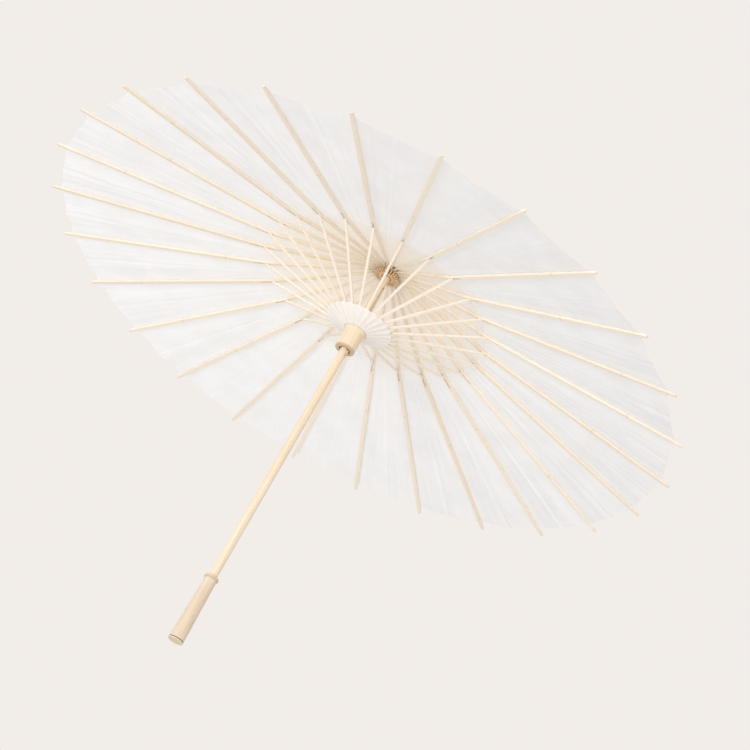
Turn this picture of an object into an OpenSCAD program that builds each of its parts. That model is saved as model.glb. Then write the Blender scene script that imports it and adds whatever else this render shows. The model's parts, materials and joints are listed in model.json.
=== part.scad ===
/* [Umbrella] */
// Number of ribs, and of stretchers, round the shaft
rib_count = 26; // [26]
// Radius from the shaft's axis to a rib's tip when open
tip_radius = 420; // [400:5:440]
// Height of a rib's tip above the handle's butt when open
tip_height = 442; // [436:1:448]
// Radius of the ring that the ribs, and the stretchers, turn on
ring_radius = 12; // [12:0.1:12.5]
// Height of the ribs' ring above the handle's butt
rib_ring_height = 540; // [530:1:550]
// Distance from each ring to the joint between a rib and its stretcher
link_length = 146.75; // [140:0.25:150]
// Slope of the line from the ribs' ring down to that joint when open, in degrees
open_slope = 17.45; // [16:0.05:19]
/* [Ribs] */
// Width of a rib over its outer half
rib_width = 5; // [4.6:0.1:5.2]
// Width of a rib at its joint with the stretcher
rib_joint_width = 3.9; // [3.7:0.1:4]
// Depth of a rib at its root
rib_root_depth = 3.2; // [3:0.1:3.4]
// Depth of a rib at its joint with the stretcher
rib_joint_depth = 3.6; // [3.4:0.1:4]
// Depth of a rib at its tip
rib_tip_depth = 2.4; // [2:0.1:3]
// Thickness of the flat tab in which a rib or a stretcher ends
tab_width = 1.5; // [1.3:0.1:1.6]
/* [Stretchers] */
// Width of a stretcher along its middle
stretcher_width = 2.8; // [2.4:0.1:3]
// Width of a stretcher where it enters the rib's split
stretcher_end_width = 2.2; // [2:0.1:2.3]
// Depth of a stretcher
stretcher_depth = 2.6; // [2.2:0.1:2.8]
// How far a stretcher bows below its straight line near the runner
stretcher_bow = 2.6; // [0:0.1:3]
/* [Shaft and handle] */
// Radius of the shaft
shaft_radius = 5; // [4.8:0.1:5.2]
// Height of the shaft's upper end
shaft_top = 563; // [558:1:570]
// Radius of the handle at its butt
handle_radius = 8.9; // [8.5:0.1:9.5]
// Length of the straight part of the handle at its butt
handle_grip_length = 12; // [10:1:16]
// Height of the handle
handle_height = 86; // [80:1:95]
/* [Head and runner] */
// Radius of the head
head_radius = 16.5; // [16:0.1:17]
// Height of the head's lower face
head_bottom = 532; // [530:1:533]
// Height of the head's upper face
head_top = 550; // [548:1:552]
// Height of the runner's lower mouth when open
runner_bottom = 416; // [412:1:420]
// Radius of the runner's lower part
runner_radius = 12.5; // [12:0.1:13]
// Radius of the runner's slotted crown
crown_radius = 14.5; // [14:0.1:15]
/* [Paper] */
// Thickness of the paper
paper = 0.5; // [0.4:0.1:0.6]
// Radius of the canopy's rim, measured along a rib
rim_radius = 410; // [392:1:412]
// Radius of the paper collar under the stretchers
collar_radius = 44; // [40:1:46]
/* [Hidden] */
$fn = 48;
gap = 0.3; // between paper and wood
slot_play = 0.2; // each side of a tab in its slot
slide_play = 0.1; // between the shaft and the runner
fit_play = 0.05; // between the shaft and what is glued on it
step = 360 / rib_count;
half_step = step / 2;
joint_radius = ring_radius + link_length * cos(open_slope);
joint_drop = link_length * sin(open_slope);
joint_height = rib_ring_height - joint_drop;
runner_ring_height = rib_ring_height - 2 * joint_drop;
// a rib's middle line, a little above its pin at the joint
pin_offset = 0.8;
rib_line = [
    [ring_radius, rib_ring_height],
    [joint_radius, joint_height + pin_offset],
    [tip_radius, tip_height]
];
inner_slope = (rib_line[0][1] - rib_line[1][1]) / (rib_line[1][0] - rib_line[0][0]);
outer_slope = (rib_line[1][1] - rib_line[2][1]) / (rib_line[2][0] - rib_line[1][0]);
// rings and pins
end_round = 1.6;
wire_radius = 0.4;
wire_hole = 0.8;
pin_radius = 0.68;
pin_hole = 0.85;
loose = 0.02; // between a pin or wire and the wood that holds it
// rib plan: radius and full width
tab_length = 21;
rib_plan = [
    [ring_radius - 3, tab_width],
    [ring_radius + tab_length, tab_width],
    [ring_radius + tab_length + 5, 2.3],
    [joint_radius, rib_joint_width],
    [joint_radius + 35, rib_width],
    [tip_radius - 6, rib_width - 0.4],
    [tip_radius, rib_width - 2.4]
];
split_in = 6; // split in the rib, towards the head
split_out = 16; // split in the rib, towards the tip
split_width = stretcher_end_width + 0.5;
// stretcher plan: radius and full width
stretcher_plan = [
    [ring_radius - 3, tab_width],
    [ring_radius + 8, tab_width],
    [ring_radius + 16, stretcher_width],
    [joint_radius - 26, stretcher_width],
    [joint_radius - 19, stretcher_end_width],
    [joint_radius + 3, stretcher_end_width]
];
bow_at = 16;
stretcher_slope = joint_drop / (joint_radius - ring_radius);
slot_floor = ring_radius - end_round - 0.4;
slot_width = tab_width + 2 * slot_play;
crown_bottom = runner_ring_height - 8;
runner_top = runner_ring_height + 5;
shaft_bottom = 24;
// the spring catch and its slot in the shaft
catch_angle = -50; // where it faces, from +X
catch_width = 2.4;
catch_slot_width = 3;
catch_slot_floor = 0.6;
catch_slot_top = 516;
catch_pivot_height = 512;
catch_pivot_depth = 2.6;
catch_thick = 1.5;
catch_face = shaft_radius - 0.3;
catch_tip_top = runner_bottom - 0.6;
catch_tip_bottom = catch_tip_top - 7;
catch_reach = 2;
catch_pin_radius = 0.6;
groove_width = 3.2;
groove_depth = catch_reach + 0.5;
cap_radius = 25;
bamboo = "#F3E2C2";
pale_wood = "#F0D9B2";
tan_wood = "#C79A66";
white_paper = "#F1F1EE";

function two_digits(i) = i < 10 ? str("0", i) : str(i);
function rib_name(i) = str("rib_", two_digits(i));
function stretcher_name(i) = str("stretcher_", two_digits(i));
function mix(a, b, t) = a + (b - a) * t;
// a rib's depth, and the height of its upper face, at a radius
function rib_depth(r) = r < joint_radius
    ? mix(rib_root_depth, rib_joint_depth, (r - ring_radius) / (joint_radius - ring_radius))
    : mix(rib_joint_depth, rib_tip_depth, (r - joint_radius) / (tip_radius - joint_radius));
function rib_mid(r) = r < joint_radius
    ? rib_line[0][1] - (r - ring_radius) * inner_slope
    : rib_line[1][1] - (r - joint_radius) * outer_slope;
function rib_top(r) = rib_mid(r) + rib_depth(r) / 2;
function paper_under(r) = rib_top(r) + gap;
// a stretcher's middle line at a radius
function stretcher_mid(r) = runner_ring_height + (r - ring_radius) * stretcher_slope
    - stretcher_bow * min((r - ring_radius) / bow_at,
                          (joint_radius - r) / (joint_radius - ring_radius - bow_at));

// puts a child drawn on the plane y = 0 upright, thickened evenly each side of it
module upright(width) {
    rotate([90, 0, 0])
        linear_extrude(height = width, center = true)
            children();
}

// a plan outline, from a list of radius and full width
module plan(widths) {
    linear_extrude(height = shaft_top)
        polygon(concat(
            [for (w = widths) [w[0], w[1] / 2]],
            [for (i = [len(widths) - 1 : -1 : 0]) [widths[i][0], -widths[i][1] / 2]]
        ));
}

// a round bar across a rib or stretcher at a radius and height
module cross_bar(r, z, radius, width) {
    translate([r, 0, z])
        rotate([90, 0, 0])
            cylinder(r = radius, h = width, center = true, $fn = 24);
}

// one slat of bamboo, split for its stretcher, with the pin of that joint
module rib() {
    color(bamboo) {
        difference() {
            intersection() {
                plan(rib_plan);
                union() {
                    upright(rib_width)
                        polygon([
                            [rib_line[0][0], rib_line[0][1] + rib_root_depth / 2],
                            [rib_line[1][0], rib_line[1][1] + rib_joint_depth / 2],
                            [rib_line[2][0], rib_line[2][1] + rib_tip_depth / 2],
                            [rib_line[2][0], rib_line[2][1] - rib_tip_depth / 2],
                            [rib_line[1][0], rib_line[1][1] - rib_joint_depth / 2],
                            [rib_line[0][0], rib_line[0][1] - rib_root_depth / 2]
                        ]);
                    cross_bar(ring_radius, rib_ring_height, rib_root_depth / 2, rib_width);
                }
            }
            cross_bar(ring_radius, rib_ring_height, wire_hole, rib_width);
            cross_bar(joint_radius, joint_height, pin_radius + loose, rib_width);
            translate([joint_radius - split_in, -split_width / 2, joint_height - split_out])
                cube([split_in + split_out, split_width, 2 * split_out]);
        }
        cross_bar(joint_radius, joint_height, pin_radius, rib_joint_width - 0.2);
    }
}

// one stretcher, with an eye at each end
module stretcher() {
    color(bamboo)
        difference() {
            intersection() {
                plan(stretcher_plan);
                union() {
                    upright(stretcher_width)
                        polygon([
                            for (s = [1, -1])
                                for (r = s > 0
                                    ? [ring_radius, ring_radius + bow_at, joint_radius]
                                    : [joint_radius, ring_radius + bow_at, ring_radius])
                                    [r, stretcher_mid(r) + s * stretcher_depth / 2]
                        ]);
                    cross_bar(ring_radius, runner_ring_height, end_round, stretcher_width);
                    cross_bar(joint_radius, joint_height, end_round, stretcher_width);
                }
            }
            cross_bar(ring_radius, runner_ring_height, wire_hole, stretcher_width);
            cross_bar(joint_radius, joint_height, pin_hole, stretcher_width);
        }
}

// a ring of wire round the shaft
module wire_ring(height, radius) {
    translate([0, 0, height])
        rotate_extrude($fn = 96)
            translate([ring_radius, 0])
                circle(r = radius, $fn = 16);
}

// a slot for each rib or stretcher, open outwards
module tab_slots(bottom, top) {
    for (i = [0 : rib_count - 1])
        rotate([0, 0, i * step])
            translate([slot_floor, -slot_width / 2, bottom])
                cube([head_radius, slot_width, top - bottom]);
}

// the shaft, with the slot for its catch
module shaft() {
    dome = 2;
    color(pale_wood)
        difference() {
            union() {
                translate([0, 0, shaft_bottom])
                    cylinder(r = shaft_radius, h = shaft_top - dome - shaft_bottom);
                translate([0, 0, shaft_top - dome])
                    cylinder(r1 = shaft_radius, r2 = shaft_radius - dome, h = dome);
            }
            rotate([0, 0, catch_angle])
                translate([catch_slot_floor, -catch_slot_width / 2, catch_tip_bottom - 1])
                    cube([shaft_radius, catch_slot_width, catch_slot_top - catch_tip_bottom + 1]);
            rotate([0, 0, catch_angle])
                cross_bar(catch_pivot_depth, catch_pivot_height, catch_pin_radius + loose,
                          2 * shaft_radius);
        }
}

// the turned wooden handle, glued on the shaft's lower end
module handle() {
    bead = 3.6;
    bead_height = handle_height - bead;
    neck_radius = 7.3;
    groove_height = 2; // of the turned line near the butt
    color(pale_wood)
        rotate_extrude($fn = 96)
            difference() {
                union() {
                    polygon([
                        [0, 0], [handle_radius, 0], [handle_radius, groove_height - 0.4],
                        [handle_radius - 0.5, groove_height],
                        [handle_radius, groove_height + 0.4],
                        [handle_radius, handle_grip_length],
                        [8.5, 26], [8, 44], [7.6, 62], [neck_radius, 72],
                        [neck_radius, bead_height], [0, bead_height]
                    ]);
                    translate([handle_radius - bead - 0.2, bead_height])
                        circle(r = bead, $fn = 32);
                    translate([0, bead_height - 1])
                        square([handle_radius - bead - 0.2, bead + 1]);
                }
                translate([0, shaft_bottom - gap])
                    square([shaft_radius + fit_play, handle_height]);
            }
}

// the slotted wooden head that holds the ribs' roots, with their wire
module head() {
    shoulder = 543;
    color(tan_wood) {
        difference() {
            union() {
                translate([0, 0, head_bottom])
                    cylinder(r = head_radius, h = shoulder - head_bottom);
                translate([0, 0, shoulder])
                    cylinder(r1 = head_radius, r2 = 12, h = head_top - shoulder);
            }
            translate([0, 0, head_bottom - 1])
                cylinder(r = shaft_radius + fit_play, h = head_top - head_bottom + 2);
            tab_slots(head_bottom - 1, rib_ring_height + end_round + 0.5);
            wire_ring(rib_ring_height, wire_radius + loose);
        }
        wire_ring(rib_ring_height, wire_radius);
    }
}

// the slotted wooden runner that slides on the shaft, with its wire
module runner() {
    flare = 4;
    mouth_radius = 7.6;
    mouth_depth = 3;
    color(pale_wood) {
        difference() {
            union() {
                translate([0, 0, runner_bottom])
                    cylinder(r = runner_radius, h = crown_bottom - flare - runner_bottom);
                translate([0, 0, crown_bottom - flare])
                    cylinder(r1 = runner_radius, r2 = crown_radius, h = flare);
                translate([0, 0, crown_bottom])
                    cylinder(r = crown_radius, h = runner_top - crown_bottom);
            }
            translate([0, 0, runner_bottom - 1])
                cylinder(r = shaft_radius + slide_play, h = runner_top - runner_bottom + 2);
            translate([0, 0, runner_bottom - 1])
                cylinder(r = mouth_radius, h = mouth_depth + 1);
            rotate([0, 0, catch_angle])
                translate([0, -groove_width / 2, runner_bottom - 1])
                    cube([shaft_radius + groove_depth, groove_width,
                          runner_top - runner_bottom + 2]);
            tab_slots(runner_ring_height - end_round - 0.5, runner_top + 1);
            wire_ring(runner_ring_height, wire_radius + loose);
        }
        wire_ring(runner_ring_height, wire_radius);
    }
}

// the bamboo tongue that springs out under the runner, on its pin
module catch() {
    color(bamboo)
        rotate([0, 0, catch_angle]) {
            difference() {
                upright(catch_width)
                    polygon([
                        [catch_pivot_depth - 1.1, catch_pivot_height + 2],
                        [catch_face, catch_pivot_height + 2],
                        [catch_face, catch_tip_top - 1],
                        [shaft_radius + catch_reach, catch_tip_top - 1],
                        [catch_face, catch_tip_bottom],
                        [catch_face - catch_thick, catch_tip_bottom],
                        [catch_face - catch_thick, catch_pivot_height - 12],
                        [catch_pivot_depth - 1.1, catch_pivot_height - 4]
                    ]);
                cross_bar(catch_pivot_depth, catch_pivot_height, catch_pin_radius + loose,
                          2 * shaft_radius);
            }
            cross_bar(catch_pivot_depth, catch_pivot_height, catch_pin_radius, 7);
        }
}

// one gore of paper between two ribs, drawn about +X
module gore() {
    radii = [head_radius + 1.6, joint_radius, rim_radius];
    points = [
        for (lift = [0, paper])
            for (r = radii)
                for (side = [-1, 1])
                    [r * cos(half_step), side * (r * sin(half_step) - gap), paper_under(r) + lift]
    ];
    polyhedron(points, [
        [0, 2, 3, 1], [2, 4, 5, 3],
        [6, 7, 9, 8], [8, 9, 11, 10],
        [0, 1, 7, 6], [4, 10, 11, 5],
        [0, 6, 8, 2], [2, 8, 10, 4],
        [1, 3, 9, 7], [3, 5, 11, 9]
    ]);
}

// the paper canopy, pasted on the ribs gore by gore
module canopy() {
    color(white_paper)
        for (i = [0 : rib_count - 1])
            rotate([0, 0, (i + 0.5) * step])
                gore();
}

// the paper collar pasted under the stretchers, round the runner
module collar() {
    bottom = crown_bottom + 1;
    top = stretcher_mid(collar_radius) - stretcher_depth / 2 - gap - paper;
    color(white_paper)
        rotate_extrude($fn = 96)
            polygon([
                [crown_radius + 0.7, bottom], [collar_radius, top],
                [collar_radius, top + paper], [crown_radius + 0.7, bottom + paper]
            ]);
}

// the paper cap over the head, outside the canopy
module top_cap() {
    edge = paper_under(cap_radius) + paper + gap;
    bore = shaft_radius + fit_play;
    color(white_paper)
        rotate_extrude($fn = 96)
            polygon([
                [bore, head_top + gap], [12, head_top + gap], [head_radius + 0.5, 543.4],
                [cap_radius, edge], [cap_radius, edge + 1],
                [head_radius + 1, 545.4], [12.6, head_top + 2.2], [bore + 2, 557], [bore, 557]
            ]);
}

for (i = [1 : rib_count])
    rotate([0, 0, (i - 1) * step]) rib();
for (i = [1 : rib_count])
    rotate([0, 0, (i - 1) * step]) stretcher();
shaft();
handle();
head();
runner();
catch();
canopy();
collar();
top_cap();
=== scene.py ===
import json
import math

import bpy
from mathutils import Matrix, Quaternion, Vector


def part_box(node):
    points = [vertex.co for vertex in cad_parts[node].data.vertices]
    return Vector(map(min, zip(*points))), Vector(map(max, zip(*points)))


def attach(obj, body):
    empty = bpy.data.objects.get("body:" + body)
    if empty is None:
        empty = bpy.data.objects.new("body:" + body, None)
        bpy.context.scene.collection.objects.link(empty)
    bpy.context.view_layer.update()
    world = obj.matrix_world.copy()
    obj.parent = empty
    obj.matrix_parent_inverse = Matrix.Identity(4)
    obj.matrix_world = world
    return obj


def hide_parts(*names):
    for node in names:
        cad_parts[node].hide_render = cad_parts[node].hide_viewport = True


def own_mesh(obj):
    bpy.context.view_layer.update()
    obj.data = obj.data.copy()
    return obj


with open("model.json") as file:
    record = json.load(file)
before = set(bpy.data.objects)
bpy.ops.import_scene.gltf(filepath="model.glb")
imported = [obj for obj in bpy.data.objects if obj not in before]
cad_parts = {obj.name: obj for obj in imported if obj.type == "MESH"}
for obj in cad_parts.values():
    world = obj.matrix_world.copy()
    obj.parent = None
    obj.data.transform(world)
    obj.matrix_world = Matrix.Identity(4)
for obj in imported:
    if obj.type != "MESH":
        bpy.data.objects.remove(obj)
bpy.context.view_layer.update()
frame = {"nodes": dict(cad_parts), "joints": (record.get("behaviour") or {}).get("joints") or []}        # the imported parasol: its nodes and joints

# places measured on the imported parasol
joints = {joint["name"]: joint for joint in frame["joints"]}
ribNames = sorted(name for name in frame["nodes"] if name.startswith("rib_"))
stretcherNames = sorted(name for name in frame["nodes"] if name.startswith("stretcher_"))
ribCount = len(ribNames)
ribStep = 2 * math.pi / ribCount
ribRing = Vector(joints["rib_01_hinge"]["pos_m"])
splitJoint = Vector(joints["stretcher_01_hinge"]["pos_m"])
runnerRing = Vector(joints["runner_hinge"]["pos_m"])
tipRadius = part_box("rib_01")[1].x


def radii(node):    # of a node's vertices, from the shaft
    return [v.co.xy.length for v in frame["nodes"][node].data.vertices]


def faceHeight(node, radius, reach=0.0006):    # upper face of a node lying along +X
    return max(v.co.z for v in frame["nodes"][node].data.vertices if abs(v.co.x - radius) < reach)


rimRadius = max(radii("canopy"))
hubRadius = min(radii("canopy"))
ribTop = {"root": faceHeight("rib_01", ribRing.x), "joint": faceHeight("rib_01", splitJoint.x),
          "tip": faceHeight("rib_01", tipRadius)}
innerFall = (ribTop["root"] - ribTop["joint"]) / (splitJoint.x - ribRing.x)
outerFall = (ribTop["joint"] - ribTop["tip"]) / (tipRadius - splitJoint.x)


def ribTopAt(radius):    # height of a rib's upper face
    if radius < splitJoint.x:
        return ribTop["root"] - (radius - ribRing.x) * innerFall
    return ribTop["joint"] - (radius - splitJoint.x) * outerFall


print(f"frame: {ribCount} ribs, rim {rimRadius:.3f} m, joints at {splitJoint.x:.3f} m")


# small helpers for node trees
def place(tree, kind, inputs=None, **settings):
    node = tree.nodes.new(kind)
    for name, value in settings.items():
        setattr(node, name, value)
    for key, value in (inputs or {}).items():
        if isinstance(value, bpy.types.NodeSocket):
            tree.links.new(value, node.inputs[key])
        else:
            node.inputs[key].default_value = value
    return node


def calc(tree, operation, *values, clamp=False):
    node = place(tree, "ShaderNodeMath", dict(enumerate(values)), operation=operation)
    node.use_clamp = clamp
    return node.outputs[0]


def product(tree, first, *others):
    for other in others:
        first = calc(tree, "MULTIPLY", first, other)
    return first


def total(tree, first, *others):
    for other in others:
        first = calc(tree, "ADD", first, other)
    return first


def hypot(tree, first, second):
    return calc(tree, "SQRT", total(tree, product(tree, first, first), product(tree, second, second)))


def fromOne(tree, value):    # one minus the value
    return calc(tree, "SUBTRACT", 1.0, value)


def vector(tree, x, y, z):
    return place(tree, "ShaderNodeCombineXYZ", {0: x, 1: y, 2: z}).outputs[0]


def parts(tree, source):
    return place(tree, "ShaderNodeSeparateXYZ", {0: source}).outputs


def between(tree, value, low, high):    # 0 below low, 1 above high, eased
    node = place(tree, "ShaderNodeMapRange", {"Value": value, "From Min": low, "From Max": high},
                 interpolation_type="SMOOTHSTEP")
    return node.outputs[0]


def noise(tree, source, scale, detail=4.0, rough=0.5):
    node = place(tree, "ShaderNodeTexNoise", {"Vector": source, "Scale": scale, "Detail": detail,
                                              "Roughness": rough})
    return node.outputs[0]


def blendColour(tree, share, first, second):    # 6, 7 and 2 are the Mix node's colour sockets
    return place(tree, "ShaderNodeMix", {0: share, 6: first, 7: second}, data_type="RGBA").outputs[2]


def rgb(r, g, b):
    return (r, g, b, 1.0)


# materials
def newFinish(name):
    finish = bpy.data.materials.new(name)
    finish.use_nodes = True
    tree = finish.node_tree
    tree.nodes.clear()
    shader = place(tree, "ShaderNodeBsdfPrincipled")
    place(tree, "ShaderNodeOutputMaterial", {0: shader.outputs[0]})
    return finish, tree, shader


def objectPlace(tree):
    return place(tree, "ShaderNodeTexCoord").outputs["Object"]


def emboss(tree, shader, height, distance, strength):
    bump = place(tree, "ShaderNodeBump", {"Height": height, "Distance": distance, "Strength": strength})
    tree.links.new(bump.outputs[0], shader.inputs["Normal"])


def slatFinish(name, look):    # split bamboo, grain running out from the shaft
    finish, tree, shader = newFinish(name)
    x, y, z = parts(tree, objectPlace(tree))
    radius = hypot(tree, x, y)
    turn = calc(tree, "DIVIDE", calc(tree, "ARCTAN2", y, x), ribStep)
    slat = calc(tree, "ROUND", turn)
    across = product(tree, calc(tree, "SUBTRACT", turn, slat), radius, ribStep)
    own, ownOther = [place(tree, "ShaderNodeTexWhiteNoise", {"W": total(tree, slat, seed)},
                           noise_dimensions="1D").outputs[0]
                     for seed in (look["seed"], look["seed"] + look["seedStep"])]
    shift = product(tree, own, look["shift"])
    grainPlace = vector(tree, total(tree, product(tree, radius, look["along"]), shift),
                        total(tree, product(tree, across, look["across"]), shift),
                        product(tree, z, look["across"] * look["fibreDeep"]))
    fibres = noise(tree, grainPlace, 1.0, 5.0, 0.6)
    streakPlace = vector(tree, total(tree, product(tree, radius, look["along"] * look["streakLong"]), shift),
                         product(tree, across, look["across"] * look["streakWide"]), ownOther)
    streaks = between(tree, noise(tree, streakPlace, 1.0, 2.0), *look["streakRange"])
    colour = blendColour(tree, between(tree, fibres, *look["fibreRange"]), look["dark"], look["light"])
    colour = blendColour(tree, product(tree, streaks, look["streakShare"]), colour, look["warm"])
    colour = blendColour(tree, product(tree, own, look["spread"]), colour, look["tan"])
    # the faint ring where the cane had a node, at its own place on each slat
    ringRadius = total(tree, look["ringFrom"], product(tree, ownOther, look["ringSpan"]))
    offRing = calc(tree, "ABSOLUTE", calc(tree, "SUBTRACT", radius, ringRadius))
    ring = fromOne(tree, between(tree, offRing, *look["ringWidth"]))
    colour = blendColour(tree, product(tree, ring, look["ring"]), colour, look["tan"])
    # cut end grain and handling marks near the tips
    tipMark = between(tree, radius, tipRadius - look["tipLength"], tipRadius)
    colour = blendColour(tree, product(tree, tipMark, look["tipShare"]), colour, look["tan"])
    tree.links.new(colour, shader.inputs["Base Color"])
    tree.links.new(total(tree, look["rough"], product(tree, fibres, look["roughSpread"])),
                   shader.inputs["Roughness"])
    emboss(tree, shader, total(tree, fibres, product(tree, ring, look["ringRaise"])), look["relief"], 0.6)
    return finish


def turnedFinish(name, look):    # turned wood, grain along the shaft
    finish, tree, shader = newFinish(name)
    x, y, z = parts(tree, objectPlace(tree))
    radius = hypot(tree, x, y)
    grainPlace = vector(tree, product(tree, x, look["fine"]), product(tree, y, look["fine"]),
                        total(tree, product(tree, z, look["along"]), look["seed"]))
    bend = noise(tree, vector(tree, product(tree, x, look["bendAcross"]),
                              product(tree, y, look["bendAcross"]),
                              product(tree, z, look["bendAlong"])), 1.0, 2.0)
    grain = noise(tree, grainPlace, 1.0, 6.0, 0.62)
    poreFine = look["fine"] * look["poreFiner"]
    pores = noise(tree, vector(tree, product(tree, x, poreFine), product(tree, y, poreFine),
                               product(tree, z, look["along"] * look["poreShorter"])), 1.0, 2.0)
    bentX = total(tree, x, product(tree, bend, look["bend"]))
    rings = calc(tree, "SINE", product(tree, bentX, look["rings"]))
    colour = blendColour(tree, between(tree, grain, *look["grainRange"]), look["dark"], look["light"])
    colour = blendColour(tree, product(tree, between(tree, rings, *look["ringRange"]), look["ringShare"]),
                         colour, look["warm"])
    colour = blendColour(tree, product(tree, between(tree, pores, *look["poreRange"]), look["poreShare"]),
                         colour, look["dark"])
    for band in look["bands"]:    # rubbed and soiled places along the shaft and handle, painted shade in the handle's groove, and grime with painted shade at the runner's mouth
        offBand = calc(tree, "ABSOLUTE", calc(tree, "SUBTRACT", z, band["at"]))
        inside = fromOne(tree, between(tree, offBand, band["half"], band["half"] + band["soft"]))
        colour = blendColour(tree, product(tree, inside, band["share"]), colour, band["colour"])
    if "core" in look:    # painted shade round the shaft: dark at the bore, fading outwards
        core = look["core"]
        boreShadeMask = fromOne(tree, between(tree, radius, core["from"], core["to"]))
        colour = blendColour(tree, product(tree, boreShadeMask, core["share"]), colour, core["colour"])
    lathe = calc(tree, "SINE", product(tree, z, look["lathe"]))
    tree.links.new(total(tree, look["rough"], product(tree, grain, look["roughSpread"])),
                   shader.inputs["Roughness"])
    if "wire" in look:    # the iron wire ring that shows in the slots
        wire = look["wire"]
        away = hypot(tree, calc(tree, "SUBTRACT", radius, wire["radius"]),
                     calc(tree, "SUBTRACT", z, wire["height"]))
        onWire = calc(tree, "LESS_THAN", away, wire["half"])
        colour = blendColour(tree, onWire, colour, wire["colour"])
        tree.links.new(onWire, shader.inputs["Metallic"])
    tree.links.new(colour, shader.inputs["Base Color"])
    emboss(tree, shader, total(tree, grain, product(tree, lathe, look["turning"])), look["relief"], 0.5)
    return finish


def paperFinish(name, look):    # long-fibred white paper that lets light through
    finish, tree, shader = newFinish(name)
    source = objectPlace(tree)
    x, y = parts(tree, source)[:2]
    cloud = noise(tree, source, look["cloudFine"], 3.0)
    pulp = noise(tree, source, look["pulpFine"], 3.0, 0.7)
    # fibre flecks lie every way, from two stretched noises
    flecks = []
    for fleck in look["flecks"]:
        spot = place(tree, "ShaderNodeMapping", {"Vector": source, "Rotation": (0, 0, fleck["turn"]),
                                                 "Scale": fleck["fine"]}).outputs[0]
        flecks.append(between(tree, noise(tree, spot, 1.0, 2.0), *fleck["range"]))
    flecks = calc(tree, "MAXIMUM", *flecks)
    colour = blendColour(tree, between(tree, cloud, *look["cloudRange"]), look["light"], look["shade"])
    colour = blendColour(tree, product(tree, flecks, look["fleckShare"]), colour, look["fibre"])
    if "hub" in look:    # warmer towards the head, with a ragged edge
        hub = look["hub"]
        level = total(tree, hypot(tree, x, y), product(tree, cloud, hub["ragged"]))
        near = fromOne(tree, between(tree, level, hub["from"], hub["to"]))
        colour = blendColour(tree, product(tree, near, hub["share"]), colour, look["warmTint"])
        fold = place(tree, "ShaderNodeAttribute", attribute_name="openShare").outputs["Fac"]
        rim = place(tree, "ShaderNodeAttribute", attribute_name="rimShare").outputs["Fac"]
        # paste stain along the ribs, with painted shadow of the rib seen through the paper
        pasteAndShade = fromOne(tree, between(tree, fold, 0.0, look["pasteShadeEnd"]))
        colour = blendColour(tree, product(tree, pasteAndShade, look["pasteShadeShare"]), colour, look["warmTint"])
        # fold lines whitened: wear of the crease, with a painted highlight on its ridge
        crease = between(tree, fold, look["creaseStart"], 1.0)
        colour = blendColour(tree, product(tree, crease, look["creaseShare"]), colour, look["paleWearAndHighlight"])
        # painted highlight along the rim's edge
        rimHighlight = between(tree, rim, look["rimHighlightStart"], 1.0)
        colour = blendColour(tree, product(tree, rimHighlight, look["rimHighlightShare"]), colour, look["paleWearAndHighlight"])
    tree.links.new(colour, shader.inputs["Base Color"])
    tree.links.new(total(tree, look["rough"], product(tree, pulp, look["roughSpread"])),
                   shader.inputs["Roughness"])
    surface = total(tree, pulp, product(tree, flecks, look["fleckRaise"]),
                    product(tree, cloud, look["cloudRaise"]))
    emboss(tree, shader, surface, look["relief"], 0.5)
    through = place(tree, "ShaderNodeBsdfTranslucent", {"Color": colour})
    mixed = place(tree, "ShaderNodeMixShader", {0: look["through"], 1: shader.outputs[0],
                                                2: through.outputs[0]})
    tree.links.new(mixed.outputs[0], tree.nodes["Material Output"].inputs[0])
    return finish


def threadFinish(name, look):    # twisted cotton thread
    finish, tree, shader = newFinish(name)
    source = objectPlace(tree)
    x, y, z = parts(tree, source)
    lay = total(tree, product(tree, calc(tree, "ARCTAN2", y, x), look["around"]),
                product(tree, z, look["along"]))
    twist = calc(tree, "SINE", lay)
    fuzz = noise(tree, source, look["fuzzFine"], 2.0)
    colour = blendColour(tree, between(tree, twist, -1.0, 1.0), look["dark"], look["light"])
    tree.links.new(blendColour(tree, product(tree, fuzz, look["fuzzShare"]), colour, look["fuzz"]),
                   shader.inputs["Base Color"])
    shader.inputs["Roughness"].default_value = look["rough"]
    emboss(tree, shader, total(tree, twist, fuzz), look["relief"], 0.6)
    return finish


ribLook = {"seed": 3.0, "seedStep": 40.5, "shift": 7.0,
           "along": 34.0, "across": 2600.0, "fibreDeep": 0.25, "fibreRange": (0.3, 0.72),
           "streakLong": 0.22, "streakWide": 0.35, "streakRange": (0.5, 0.8), "streakShare": 0.5,
           "ringFrom": 0.19, "ringSpan": 0.17, "ringWidth": (0.0006, 0.0024), "ringRaise": 0.8,
           "tipLength": 0.006, "tipShare": 0.35,
           "rough": 0.44, "roughSpread": 0.22, "relief": 0.00012,
           "spread": 0.34, "ring": 0.5,    # how far slats differ, and how clear the cane's rings are
           "light": rgb(0.955, 0.89, 0.79), "dark": rgb(0.88, 0.785, 0.645), "warm": rgb(0.92, 0.83, 0.69),
           "tan": rgb(0.79, 0.645, 0.46)}
stretcherLook = dict(ribLook, seed=61.0, spread=0.22, ring=0.0, light=rgb(0.97, 0.92, 0.83),
                     dark=rgb(0.90, 0.81, 0.68))
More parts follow.
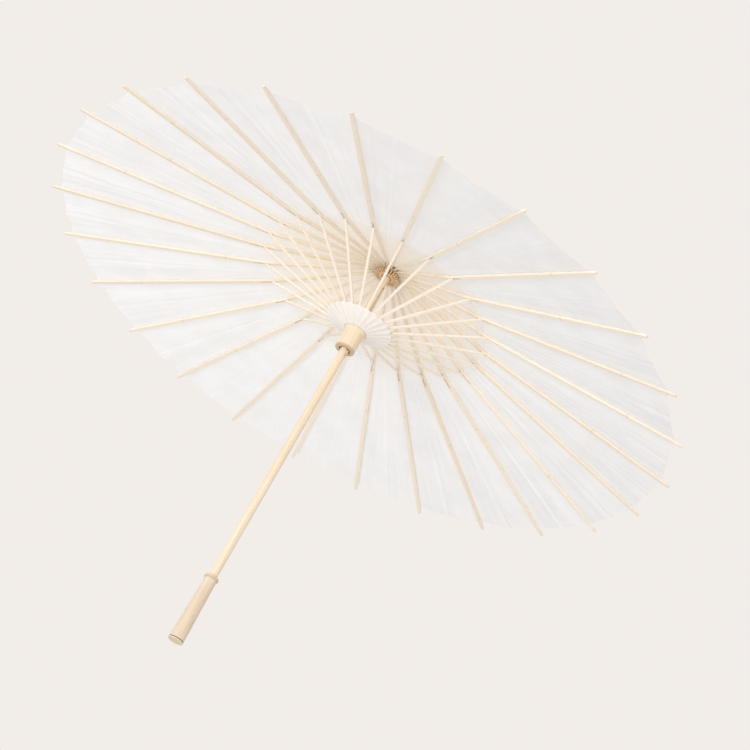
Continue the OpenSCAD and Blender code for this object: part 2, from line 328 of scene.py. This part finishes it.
# a darker copy of the rib bamboo for the catch: painted shade of the slot in the shaft where it lies
catchLook = dict(ribLook, seed=12.0, light=rgb(0.86, 0.70, 0.48), dark=rgb(0.62, 0.45, 0.26))
shaftLook = {"seed": 5.0, "fine": 900.0, "along": 16.0, "grainRange": (0.28, 0.7),
             "bendAcross": 30.0, "bendAlong": 6.0, "bend": 0.012,
             "rings": 1300.0, "ringRange": (0.1, 1.0), "ringShare": 0.22,
             "poreFiner": 3.1, "poreShorter": 2.6, "poreRange": (0.6, 0.74), "poreShare": 0.3,
             "rough": 0.42, "roughSpread": 0.2, "relief": 0.00015,
             "lathe": 2400.0, "turning": 0.1,
             "light": rgb(0.925, 0.80, 0.63), "dark": rgb(0.80, 0.635, 0.45), "warm": rgb(0.86, 0.69, 0.48),
             "bands": [{"at": 0.33, "half": 0.10, "soft": 0.03, "share": 0.14,
                        "colour": rgb(0.70, 0.52, 0.33)}]}
handleLook = dict(shaftLook, seed=21.0, fine=620.0, rings=700.0, rough=0.4, lathe=5200.0, turning=0.35,
                  light=rgb(0.80, 0.68, 0.53), dark=rgb(0.67, 0.54, 0.39),
                  # painted shade in the groove near the butt
                  bands=[{"at": 0.002, "half": 0.0004, "soft": 0.0003, "share": 0.8,
                          "colour": rgb(0.16, 0.10, 0.06)},
                         {"at": 0.0815, "half": 0.0008, "soft": 0.0008, "share": 0.45,
                          "colour": rgb(0.45, 0.31, 0.18)},
                         {"at": 0.045, "half": 0.018, "soft": 0.02, "share": 0.16,
                          "colour": rgb(0.66, 0.47, 0.29)}])
bareWire = {"half": 0.00041, "colour": rgb(0.42, 0.40, 0.37)}
# painted shade where the head and the runner meet the shaft, darkest at the bore
boreShade = {"from": 0.0056, "to": 0.0085, "share": 0.7, "colour": rgb(0.20, 0.12, 0.06)}
headLook = dict(shaftLook, seed=33.0, fine=700.0, rings=900.0, rough=0.5, lathe=4200.0, turning=0.3, bands=[],
                light=rgb(0.86, 0.64, 0.41), dark=rgb(0.68, 0.47, 0.27), warm=rgb(0.78, 0.55, 0.32),
                wire=dict(bareWire, radius=ribRing.x, height=ribRing.z), core=boreShade)
runnerLook = dict(shaftLook, seed=47.0, fine=700.0, rings=900.0, lathe=4200.0, turning=0.3,
                  light=rgb(0.90, 0.76, 0.58), dark=rgb(0.75, 0.58, 0.40),
                  wire=dict(bareWire, radius=runnerRing.x, height=runnerRing.z),
                  core=dict(boreShade, to=0.0082, share=0.8),
                  # grime with painted shade at the runner's mouth, along its lower edge
                  bands=[{"at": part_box("runner")[0].z, "half": 0.0012, "soft": 0.002, "share": 0.5,
                          "colour": rgb(0.40, 0.27, 0.15)}])
collarLook = {"light": rgb(0.975, 0.965, 0.945), "shade": rgb(0.945, 0.93, 0.905),
              "fibre": rgb(0.98, 0.97, 0.94),
              "cloudFine": 26.0, "cloudRange": (0.3, 0.75), "cloudRaise": 2.0, "pulpFine": 900.0,
              "flecks": [{"turn": 0.6, "fine": (60, 900, 900), "range": (0.66, 0.74)},
                         {"turn": -0.9, "fine": (900, 70, 900), "range": (0.67, 0.75)}],
              "fleckShare": 0.5, "fleckRaise": 0.6,
              "rough": 0.7, "roughSpread": 0.15, "relief": 0.00012, "through": 0.25}
capLook = dict(collarLook, through=0.12)
canopyLook = dict(collarLook, light=rgb(0.925, 0.92, 0.915), shade=rgb(0.885, 0.88, 0.875),
                  fibre=rgb(0.965, 0.96, 0.95), warmTint=rgb(0.955, 0.875, 0.765),
                  paleWearAndHighlight=rgb(0.97, 0.97, 0.965), rough=0.55, through=0.42,
                  hub={"from": 0.09, "to": 0.20, "share": 0.95, "ragged": 0.02},
                  pasteShadeEnd=0.06, pasteShadeShare=0.3, creaseStart=0.975, creaseShare=0.25,
                  rimHighlightStart=0.985, rimHighlightShare=0.4)
threadLook = {"around": 90.0, "along": 9000.0, "fuzzFine": 2500.0, "fuzzShare": 0.3,
              "light": rgb(0.86, 0.82, 0.74), "dark": rgb(0.70, 0.64, 0.54), "fuzz": rgb(0.92, 0.89, 0.84),
              "rough": 0.85, "relief": 0.0001}

ribBamboo = slatFinish("ribBamboo", ribLook)
stretcherBamboo = slatFinish("stretcherBamboo", stretcherLook)
catchBambooShaded = slatFinish("catchBambooShaded", catchLook)
shaftWood = turnedFinish("shaftWood", shaftLook)
handleWood = turnedFinish("handleWood", handleLook)
headWood = turnedFinish("headWood", headLook)
runnerWood = turnedFinish("runnerWood", runnerLook)
canopyPaper = paperFinish("canopyPaper", canopyLook)
collarPaper = paperFinish("collarPaper", collarLook)
capPaper = paperFinish("capPaper", capLook)
bindingThread = threadFinish("bindingThread", threadLook)

carried = {name: ribBamboo for name in ribNames}
carried.update({name: stretcherBamboo for name in stretcherNames})
carried.update({"shaft": shaftWood, "handle": handleWood, "head": headWood, "runner": runnerWood,
                "catch": catchBambooShaded, "canopy": canopyPaper, "collar": collarPaper, "top_cap": capPaper})
for name, finish in carried.items():
    for slot in frame["nodes"][name].material_slots:
        slot.material = finish
print(f"materials: {len(bpy.data.materials)} finishes on {len(carried)} nodes")


# paper, as one Geometry Nodes tree for every strip of it
def newTree(name, inputs):
    tree = bpy.data.node_groups.new(name, "GeometryNodeTree")
    for label, kind in inputs.items():
        tree.interface.new_socket(name=label, in_out="INPUT", socket_type="NodeSocket" + kind)
    tree.interface.new_socket(name="Geometry", in_out="OUTPUT", socket_type="NodeSocketGeometry")
    given = place(tree, "NodeGroupInput").outputs
    return tree, {label: given[label] for label in inputs}


def endTree(tree, geometry, paint):
    realised = place(tree, "GeometryNodeRealizeInstances", {"Geometry": geometry}).outputs[0]
    painted = place(tree, "GeometryNodeSetMaterial", {"Geometry": realised, "Material": paint}).outputs[0]
    place(tree, "NodeGroupOutput", {0: painted})


def grow(name, tree, values):    # runs a tree and keeps its result as a plain mesh
    host = bpy.data.objects.new(name, bpy.data.meshes.new(name + "_seed"))
    bpy.context.scene.collection.objects.link(host)
    modifier = host.modifiers.new("shape", "NODES")
    modifier.node_group = tree
    sockets = {item.name: item.identifier for item in tree.interface.items_tree if item.in_out == "INPUT"}
    for label, value in values.items():
        modifier[sockets[label]] = value
    seen = host.evaluated_get(bpy.context.evaluated_depsgraph_get())
    mesh = bpy.data.meshes.new_from_object(seen)
    host.modifiers.clear()
    host.data = mesh
    mesh.name = name
    return host


paperInputs = {"Rows": "Int", "Columns": "Int", "Turn": "Float", "Half Step": "Float",
               "Inner Radius": "Float", "Outer Radius": "Float", "Bend Radius": "Float",
               "Bend Height": "Float", "Inner Fall": "Float", "Outer Fall": "Float",
               "Hub Cover": "Float", "Bend Cover": "Float", "Start On Rib": "Float",
               "Start At Fold": "Float", "End On Rib": "Float", "End At Fold": "Float",
               "Fold Depth": "Float", "Ridge": "Float", "Wrinkle": "Float", "Rim Dip": "Float",
               "Seed": "Float", "Paper": "Material"}
paperRelief = {
    # creases that run out along the gore, then finer ones
    "rays": {"turns": 21.0, "out": 5.0, "detail": 3.0, "height": 2.0},
    "fineRays": {"turns": 62.0, "out": 11.0, "detail": 2.0, "height": 1.2},
    "dents": {"fine": 24.0, "height": 1.3},
    "dipCurve": 8.0,            # a larger value starts the rim's dip nearer the rim
    "heldWidth": 4.0,           # a larger value keeps less of the paper flat at the ribs
    "hubShare": 0.25,           # how much of the wrinkling is left at the head
    "ridgeStart": 0.9,
}


def paperTree(relief):
    tree, given = newTree("paperStrip", paperInputs)
    grid = place(tree, "GeometryNodeMeshGrid", {"Size X": 1.0, "Size Y": 1.0, "Vertices X": given["Rows"],
                                                "Vertices Y": given["Columns"]})
    x, y = parts(tree, place(tree, "GeometryNodeInputPosition").outputs[0])[:2]
    along, across = calc(tree, "ADD", x, 0.5), calc(tree, "ADD", y, 0.5)
    reach = calc(tree, "SUBTRACT", given["Outer Radius"], given["Inner Radius"])
    radius = total(tree, given["Inner Radius"], product(tree, reach, along))
    sine, cosine = calc(tree, "SINE", given["Half Step"]), calc(tree, "COSINE", given["Half Step"])
    width = product(tree, radius, sine, cosine)    # from a rib to the fold beside it
    cover = place(tree, "ShaderNodeMapRange", {"Value": radius, "From Min": hubRadius,
                                               "From Max": given["Bend Radius"], "To Min": given["Hub Cover"],
                                               "To Max": given["Bend Cover"]}).outputs[0]
    edge = calc(tree, "DIVIDE", cover, width)
    start = total(tree, product(tree, given["Start On Rib"], edge), given["Start At Fold"])
    end = total(tree, product(tree, given["End On Rib"], edge), given["End At Fold"])
    share = total(tree, start, product(tree, calc(tree, "SUBTRACT", end, start), across))
    size = calc(tree, "ABSOLUTE", share)
    opened = calc(tree, "DIVIDE", calc(tree, "SUBTRACT", size, edge), fromOne(tree, edge), clamp=True)
    # the rim runs in a little between a rib and the fold
    bay = product(tree, opened, fromOne(tree, opened), 4.0)    # 1 half way
    dip = product(tree, given["Rim Dip"], bay, calc(tree, "POWER", along, relief["dipCurve"]))
    radius = calc(tree, "SUBTRACT", radius, dip)
    flatX = product(tree, radius, fromOne(tree, product(tree, size, sine, sine)))
    flatY = product(tree, radius, share, sine, cosine)
    within = calc(tree, "MAXIMUM", calc(tree, "SUBTRACT", given["Bend Radius"], radius), 0.0)
    beyond = calc(tree, "MAXIMUM", calc(tree, "SUBTRACT", radius, given["Bend Radius"]), 0.0)
    rise = product(tree, within, given["Inner Fall"])
    fall = product(tree, beyond, given["Outer Fall"])
    height = calc(tree, "SUBTRACT", total(tree, given["Bend Height"], rise), fall)
    flat = place(tree, "ShaderNodeVectorRotate", {"Vector": vector(tree, flatX, flatY, height),
                                                  "Angle": given["Turn"]}, rotation_type="Z_AXIS").outputs[0]
    # relief comes from places round the whole canopy, so neighbours meet
    px, py = parts(tree, flat)[:2]
    level = hypot(tree, px, py)
    ux, uy = calc(tree, "DIVIDE", px, level), calc(tree, "DIVIDE", py, level)

    def creases(kind):
        spot = vector(tree, product(tree, ux, kind["turns"]), product(tree, uy, kind["turns"]),
                      total(tree, product(tree, level, kind["out"]), given["Seed"]))
        waves = calc(tree, "SUBTRACT", noise(tree, spot, 1.0, kind["detail"]), 0.5)
        return product(tree, waves, kind["height"])

    dents = calc(tree, "SUBTRACT", noise(tree, flat, relief["dents"]["fine"], 2.0), 0.5)
    bumps = total(tree, creases(relief["rays"]), creases(relief["fineRays"]),
                  product(tree, dents, relief["dents"]["height"]))
    held = calc(tree, "MULTIPLY", opened, relief["heldWidth"], clamp=True)    # the ribs hold the paper flat
    spread = calc(tree, "DIVIDE", level, rimRadius)
    slack = total(tree, relief["hubShare"], product(tree, spread, 1 - relief["hubShare"]))
    wrinkle = product(tree, bumps, given["Wrinkle"], held, slack)
    fold = product(tree, given["Fold Depth"], opened, spread)
    ridge = product(tree, given["Ridge"], between(tree, opened, relief["ridgeStart"], 1.0), spread)
    lift = total(tree, wrinkle, ridge, product(tree, fold, -1.0))
    final = place(tree, "ShaderNodeVectorMath", {0: flat, 1: vector(tree, 0.0, 0.0, lift)},
                  operation="ADD").outputs[0]
    mesh = place(tree, "GeometryNodeStoreNamedAttribute", {
        "Geometry": grid.outputs["Mesh"], "Name": "UVMap", "Value": grid.outputs["UV Map"]},
        data_type="FLOAT2", domain="CORNER").outputs[0]
    for label, value in (("openShare", opened), ("rimShare", spread)):
        mesh = place(tree, "GeometryNodeStoreNamedAttribute",
                     {"Geometry": mesh, "Name": label, "Value": value},
                     data_type="FLOAT", domain="POINT").outputs[0]
    moved = place(tree, "GeometryNodeSetPosition", {"Geometry": mesh, "Position": final}).outputs[0]
    smooth = place(tree, "GeometryNodeSetShadeSmooth", {"Geometry": moved}).outputs[0]
    endTree(tree, smooth, given["Paper"])
    return tree


canopySizes = {
    "lift": 0.00045,            # paper's middle above a rib's upper face
    "headGap": 0.0034,          # clear of the head when closed, under the cap when open
    "hubCover": 0.0016,         # half width of the paper pasted on a rib, near the head
    "bendCover": 0.0026,        # and from the stretchers' joints outwards
    "foldDepth": 0.0034,        # valley fold half way between ribs, at the rim
    "ridge": 0.0014,            # stiff line of the fold itself
    "wrinkle": 0.0022,
    "rimDip": 0.0016,
    "seed": 4.0,
    "ribRows": 90, "ribColumns": 4,
    "hubRows": 34, "hubColumns": 9,
    "bayRows": 58, "bayColumns": 18,
    "hubTilt": 8.0,             # degrees: how steeply a folded panel turns in under its rib
    "bayTilt": 13.5,
    "keep": 0.005,              # share of its width that a folded panel keeps
    "leastCut": 0.01,           # narrowest flat size worked out for a panel's sheet
}
paperStrip = paperTree(paperRelief)


def ribAngle(name):
    return (int(name[-2:]) - 1) * ribStep


def bayWidth(radius):    # straight across from a rib to the fold beside it
    return radius * math.sin(ribStep / 2) * math.cos(ribStep / 2)


def makeCanopy(sizes):
    bend = Vector((splitJoint.x, 0, ribTopAt(splitJoint.x) + sizes["lift"]))
    slope = {"hub": innerFall, "bay": outerFall}
    start = hubRadius + sizes["headGap"]
    ends = {"hub": start, "bay": rimRadius}
    covers = {"hub": sizes["hubCover"], "bay": sizes["bendCover"]}

    def strip(name, angle, inner, outer, spread, rows, columns):
        return grow(name, paperStrip, {
            "Rows": rows, "Columns": columns, "Turn": angle, "Half Step": ribStep / 2,
            "Inner Radius": inner, "Outer Radius": outer, "Bend Radius": bend.x, "Bend Height": bend.z,
            "Inner Fall": innerFall, "Outer Fall": outerFall, "Hub Cover": sizes["hubCover"],
            "Bend Cover": sizes["bendCover"], "Start On Rib": spread[0], "Start At Fold": spread[1],
            "End On Rib": spread[2], "End At Fold": spread[3], "Fold Depth": sizes["foldDepth"],
            "Ridge": sizes["ridge"], "Wrinkle": sizes["wrinkle"], "Rim Dip": sizes["rimDip"],
            "Seed": sizes["seed"], "Paper": canopyPaper})

    def panel(name, region, side):
        number, angle = name[-2:], ribAngle(name)
        far, cover = ends[region], covers[region]
        spread = (1, 0, 0, 1) if side > 0 else (0, -1, -1, 0)
        label = f"paper_{region}_{number}{'a' if side > 0 else 'b'}"
        piece = strip(label, angle, min(far, bend.x), max(far, bend.x), spread,
                      sizes[region + "Rows"], sizes[region + "Columns"])
        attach(piece, name)
        # the line of its edge along the rib, and the directions across and up from it
        hinge = Vector((bend.x, side * sizes["bendCover"], bend.z))
        end = Vector((far, side * cover, bend.z - (far - bend.x) * slope[region]))
        line = (end - hinge).normalized()
        outwards = (Vector((0, side, 0)) - side * line.y * line).normalized()
        upwards = line.cross(outwards)
        upwards = upwards if upwards.z > 0 else -upwards
        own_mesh(piece)
        widths = [bayWidth(bend.x) - sizes["bendCover"], bayWidth(far) - cover]
        long = (end - hinge).length
        return piece, {"flat": (max(sizes["leastCut"], *widths), long), "area": sum(widths) / 2 * long}

    for name in ribNames:
        ribStrip = strip("paper_rib_" + name[-2:], ribAngle(name), start, rimRadius, (-1, 0, 1, 0),
                         sizes["ribRows"], sizes["ribColumns"])
        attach(ribStrip, name)
        made = [ribStrip]
        for region in ("hub", "bay"):
            for side in (1, -1):
                piece, cut = panel(name, region, side)
                made.append(piece)
        for piece in made:
            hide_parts("canopy")


makeCanopy(canopySizes)
print("canopy: paper made for", ribCount, "ribs")

collarSizes = {
    "cover": 0.0012,            # half width of the paper pasted on a stretcher
    # folds and wrinkles are measured at the canopy's rim, and shrink with the radius
    "pleat": 0.012,
    "wrinkle": 0.0004,
    "rimDip": 0.0006,
    "seed": 9.0,
    "rows": 16, "columns": 11,
    "under": 0.0002,            # the inner edge's height above the collar's lowest point
    "rimDrop": 0.0014,          # the rim's depth under its highest
    "keep": 0.36,               # share of its width that a folded flap keeps
    "leastCut": 0.01,           # narrowest flat size that a sheet states
}


def makeCollar(sizes):
    low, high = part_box("collar")
    inner = min(radii("collar"))
    start, end = low.z + sizes["under"], high.z - sizes["rimDrop"]
    rise = (end - start) / (high.x - inner)
    for name in stretcherNames:
        angle = ribAngle(name)
        flap = grow("collar_flap_" + name[-2:], paperStrip, {
            "Rows": sizes["rows"], "Columns": sizes["columns"], "Turn": angle, "Half Step": ribStep / 2,
            "Inner Radius": inner, "Outer Radius": high.x, "Bend Radius": inner, "Bend Height": start,
            "Inner Fall": 0.0, "Outer Fall": -rise, "Hub Cover": sizes["cover"],
            "Bend Cover": sizes["cover"], "Start On Rib": 0.0, "Start At Fold": 1.0, "End On Rib": 0.0,
            "End At Fold": -1.0, "Fold Depth": sizes["pleat"], "Ridge": 0.0, "Wrinkle": sizes["wrinkle"],
            "Rim Dip": sizes["rimDip"], "Seed": sizes["seed"], "Paper": collarPaper})
        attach(flap, name)
        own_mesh(flap)
        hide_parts("collar")


makeCollar(collarSizes)
print("collar: made")

# the folded cap and its binding
capSizes = {
    "thick": 0.0007,
    "pleats": 26, "pleatDepth": 0.00045, "around": 208,
    "pleatStart": 0.008, "pleatGrowth": 0.008,           # the pleats die out towards the neck
    "pleatLean": 0.4,
    "brim": [(0.0, 0.0011), (-0.004, 0.0028)],           # out from the cap's edge, up from its foot
    "shoulder": [(0.0016, 0.0062), (0.0002, 0.0082)],    # out from the head's edge, up from the foot
    # radius and height above the head
    "crown": [(0.0146, 0.0004), (0.0122, 0.0021), (0.0090, 0.0031), (0.0076, 0.0042)],
    "lip": [(0.0074, -0.0008), (0.0068, 0.0)],           # radius, up from the cap's top
    "shaftGap": 0.0002,
    "insideShift": 0.6,                                  # the inside's step inwards, in thicknesses
    "cut": 0.060, "cutArea": 0.0027,                     # the square of paper, and what is used of it
}


def makeCap(sizes):
    low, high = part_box("top_cap")
    bore = min(radii("top_cap"))
    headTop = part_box("head")[1]
    # radius and height up the outside, from the edge that lies on the canopy
    outline = [(high.x + out, low.z + up) for out, up in sizes["brim"]]
    outline += [(headTop.x + out, low.z + up) for out, up in sizes["shoulder"]]
    outline += [(radius, headTop.z + up) for radius, up in sizes["crown"]]
    outline += [(radius, high.z + up) for radius, up in sizes["lip"]]
    outline.append((bore + sizes["thick"] + sizes["shaftGap"], high.z))
    verts, faces, rings = [], [], []
    count = sizes["around"]

    def addRing(radius, height, level):
        wave = sizes["pleatDepth"] * min(1, max(0, (level - sizes["pleatStart"]) / sizes["pleatGrowth"]))
        rings.append(len(verts))
        for i in range(count):
            turn = 2 * math.pi * i / count
            pleat = abs((i * sizes["pleats"] / count) % 1 - 0.5) * 2 - 0.5
            away = radius + wave * pleat * sizes["pleatLean"]
            verts.append((away * math.cos(turn), away * math.sin(turn), height + wave * pleat))

    for radius, height in outline:
        addRing(radius, height, radius)
    for radius, height in reversed(outline):
        inside = max(bore, radius - sizes["thick"] * sizes["insideShift"])
        addRing(inside, height - sizes["thick"], radius)
    for k in range(len(rings)):
        here, there = rings[k], rings[(k + 1) % len(rings)]
        for i in range(count):
            faces.append((here + i, here + (i + 1) % count, there + (i + 1) % count, there + i))
    mesh = bpy.data.meshes.new("cap_paper_fold")
    mesh.from_pydata(verts, [], faces)
    mesh.materials.append(capPaper)
    for face in mesh.polygons:
        face.use_smooth = True
    mesh.update()
    cap = bpy.data.objects.new("cap_paper_fold", mesh)
    bpy.context.scene.collection.objects.link(cap)
    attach(cap, "root")
    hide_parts("top_cap")
    return headTop.z


capNeck = makeCap(capSizes)

bindingSizes = {
    "turns": 5.0,
    "neck": 0.00775,
    "thread": 0.00032,          # its half thickness
    "aboveHead": 0.0044,
    "stepsPerTurn": 40, "threadSides": 8,
}
bindingInputs = {"Turns": "Float", "Neck Radius": "Float", "Bottom": "Float", "Rise": "Float",
                 "Thread Radius": "Float", "Thread": "Material"}


def bindingTree(sizes):
    tree, given = newTree("bindingCoil", bindingInputs)
    coil = place(tree, "GeometryNodeCurveSpiral", {
        "Resolution": sizes["stepsPerTurn"], "Rotations": given["Turns"],
        "Start Radius": given["Neck Radius"], "End Radius": given["Neck Radius"],
        "Height": given["Rise"]}).outputs[0]
    lifted = place(tree, "GeometryNodeTransform", {
        "Geometry": coil, "Translation": vector(tree, 0.0, 0.0, given["Bottom"])}).outputs[0]
    ring = place(tree, "GeometryNodeCurvePrimitiveCircle",
                 {"Resolution": sizes["threadSides"], "Radius": given["Thread Radius"]})
    tube = place(tree, "GeometryNodeCurveToMesh", {"Curve": lifted, "Profile Curve": ring.outputs[0],
                                                   "Fill Caps": True}).outputs[0]
    smooth = place(tree, "GeometryNodeSetShadeSmooth", {"Geometry": tube}).outputs[0]
    endTree(tree, smooth, given["Thread"])
    return tree


def makeBinding(sizes, headHeight):
    binding = grow("cap_binding", bindingTree(sizes), {
        "Turns": sizes["turns"], "Neck Radius": sizes["neck"], "Bottom": headHeight + sizes["aboveHead"],
        "Rise": sizes["turns"] * sizes["thread"] * 2, "Thread Radius": sizes["thread"],
        "Thread": bindingThread})
    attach(binding, "root")


makeBinding(bindingSizes, capNeck)
print("cap: folded and bound")

# floor, light and camera
studio = {
    "floorHeight": -1.25, "floorSize": 240.0,
    "floorDark": rgb(0.88, 0.85, 0.82), "floorLight": rgb(0.91, 0.88, 0.85),
    "mottle": 3.0, "floorRough": 0.9,
    "backdrop": rgb(0.888, 0.847, 0.815),    # what the camera sees
    "around": rgb(0.74, 0.74, 0.75),         # what lights the parasol
    "lampAim": (0, 0, 0.4),
}
cameraSizes = {"at": (-0.1632, -1.8298, -0.5380), "aim": (0.0402, -0.0630, 0.3769), "roll": 29.5,
               "lens": 82.26, "sensor": 36.0}
lamps = {
    "keyLamp": {"at": (-1.7, -1.9, -0.2), "size": 1.1, "power": 29.0, "colour": (1.0, 0.99, 0.98)},
    "fillLamp": {"at": (1.6, -1.4, -0.6), "size": 2.0, "power": 7.0, "colour": (1.0, 0.98, 0.96)},
    "topLamp": {"at": (-1.5, 0.5, 2.1), "size": 1.6, "power": 19.0, "colour": (1.0, 0.99, 0.98)},
}


def makeFloor(sizes):
    half = sizes["floorSize"] / 2
    mesh = bpy.data.meshes.new("studioFloor")
    corners = [(-half, -half), (half, -half), (half, half), (-half, half)]
    mesh.from_pydata([(x, y, sizes["floorHeight"]) for x, y in corners], [], [(0, 1, 2, 3)])
    finish, tree, shader = newFinish("floorFinish")
    mottle = noise(tree, objectPlace(tree), sizes["mottle"], 3.0)
    tree.links.new(blendColour(tree, mottle, sizes["floorDark"], sizes["floorLight"]),
                   shader.inputs["Base Color"])
    shader.inputs["Roughness"].default_value = sizes["floorRough"]
    mesh.materials.append(finish)
    floor = bpy.data.objects.new("studioFloor", mesh)
    bpy.context.scene.collection.objects.link(floor)


def makeLight(sizes):
    world = bpy.data.worlds.new("studioWorld")
    bpy.context.scene.world = world
    world.use_nodes = True
    tree = world.node_tree
    seen = place(tree, "ShaderNodeLightPath").outputs["Is Camera Ray"]
    tree.links.new(blendColour(tree, seen, sizes["around"], sizes["backdrop"]),
                   tree.nodes["Background"].inputs["Color"])
    for name, lamp in lamps.items():
        data = bpy.data.lights.new(name, "AREA")
        data.shape, data.size, data.energy, data.color = "DISK", lamp["size"], lamp["power"], lamp["colour"]
        light = bpy.data.objects.new(name, data)
        light.location = lamp["at"]
        light.rotation_mode = "QUATERNION"
        light.rotation_quaternion = (Vector(sizes["lampAim"]) - light.location).to_track_quat("-Z", "Y")
        bpy.context.scene.collection.objects.link(light)


def makeCamera(sizes):
    data = bpy.data.cameras.new("studioCamera")
    data.lens, data.sensor_width = sizes["lens"], sizes["sensor"]
    camera = bpy.data.objects.new("studioCamera", data)
    camera.location = sizes["at"]
    camera.rotation_mode = "QUATERNION"
    look = (Vector(sizes["aim"]) - camera.location).to_track_quat("-Z", "Y")
    camera.rotation_quaternion = look @ Quaternion((0, 0, 1), math.radians(sizes["roll"]))
    bpy.context.scene.collection.objects.link(camera)
    bpy.context.scene.camera = camera


makeFloor(studio)
makeLight(studio)
makeCamera(cameraSizes)
bpy.context.scene.view_settings.view_transform = "Standard"
print("studio: floor, world,", len(lamps), "lamps and the camera")
